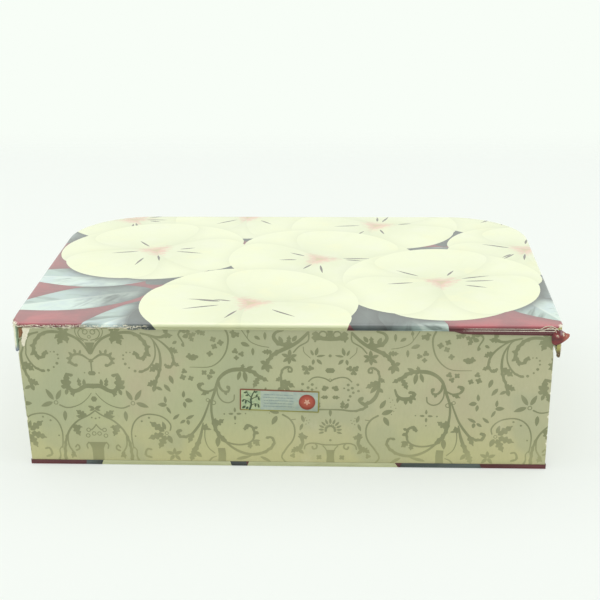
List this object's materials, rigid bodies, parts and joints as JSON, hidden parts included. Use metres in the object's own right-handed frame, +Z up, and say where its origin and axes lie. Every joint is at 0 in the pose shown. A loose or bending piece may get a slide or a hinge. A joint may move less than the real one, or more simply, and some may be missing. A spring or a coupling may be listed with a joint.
{
  "type": "suitcase storage box",
  "caption": "Paper-covered board keepsake box shaped like a small suitcase, with a shallow lid on a paper fold, a hasp latch and a swinging handle.",
  "frame": {"origin": "middle of the base, on the face that it stands on", "axes": "+X along the fold, to the right when seen from behind; +Y from the fold to the front with the handle; +Z up"},
  "size_m": [0.3284, 0.2274, 0.094],
  "materials": {
    "greyboard": "matte",
    "scroll_paper": "satin",
    "flower_paper": "gloss",
    "bottom_paper": "gloss",
    "liner_paper": "matte",
    "hinge_paper": "matte",
    "label_paper": "satin",
    "latch_brass": "satin",
    "grip_leatherette": "satin"
  },
  "bodies": {
    "base": {"base_floor_board": "greyboard", "base_wall_board": "greyboard", "base_back_board": "greyboard", "base_wrap_paper": "scroll_paper", "base_bottom_paper": "bottom_paper", "base_floor_liner": "liner_paper", "base_wall_liner": "liner_paper", "back_label": "label_paper", "hinge_strip_outer": "flower_paper", "hinge_strip_base": "hinge_paper", "latch_catch_plate": "latch_brass", "latch_catch_rivet_left": "latch_brass", "latch_catch_rivet_right": "latch_brass", "handle_bracket_left": "latch_brass", "handle_bracket_right": "latch_brass", "handle_rivet_left_lower": "latch_brass", "handle_rivet_left_upper": "latch_brass", "handle_rivet_right_lower": "latch_brass", "handle_rivet_right_upper": "latch_brass"},
    "lid": {"lid_board": "greyboard", "lid_rim_board": "greyboard", "lid_cover_paper": "flower_paper", "lid_liner": "liner_paper", "hinge_strip_lid": "hinge_paper", "latch_hinge_plate": "latch_brass", "latch_hinge_rivet_left": "latch_brass", "latch_hinge_rivet_right": "latch_brass", "latch_pin": "latch_brass"},
    "hasp": {"latch_hasp": "latch_brass"},
    "handle": {"handle_bail": "latch_brass", "handle_grip": "grip_leatherette", "handle_ferrule_left": "latch_brass", "handle_ferrule_right": "latch_brass"}
  },
  "joints": [
    {"name": "lid_fold", "type": "hinge", "parent": "base", "child": "lid", "pos_m": [0, -0.11005, 0.09105], "axis": [1, 0, 0], "range_deg": [0, 180]},
    {"name": "hasp_swing", "type": "hinge", "parent": "lid", "child": "hasp", "pos_m": [0.00065, 0.1156, 0.0775], "axis": [1, 0, 0], "range_deg": [0, 170]},
    {"name": "handle_swing", "type": "hinge", "parent": "base", "child": "handle", "pos_m": [0, 0.1138, 0.052], "axis": [1, 0, 0], "range_deg": [0, 150]}
  ]
}
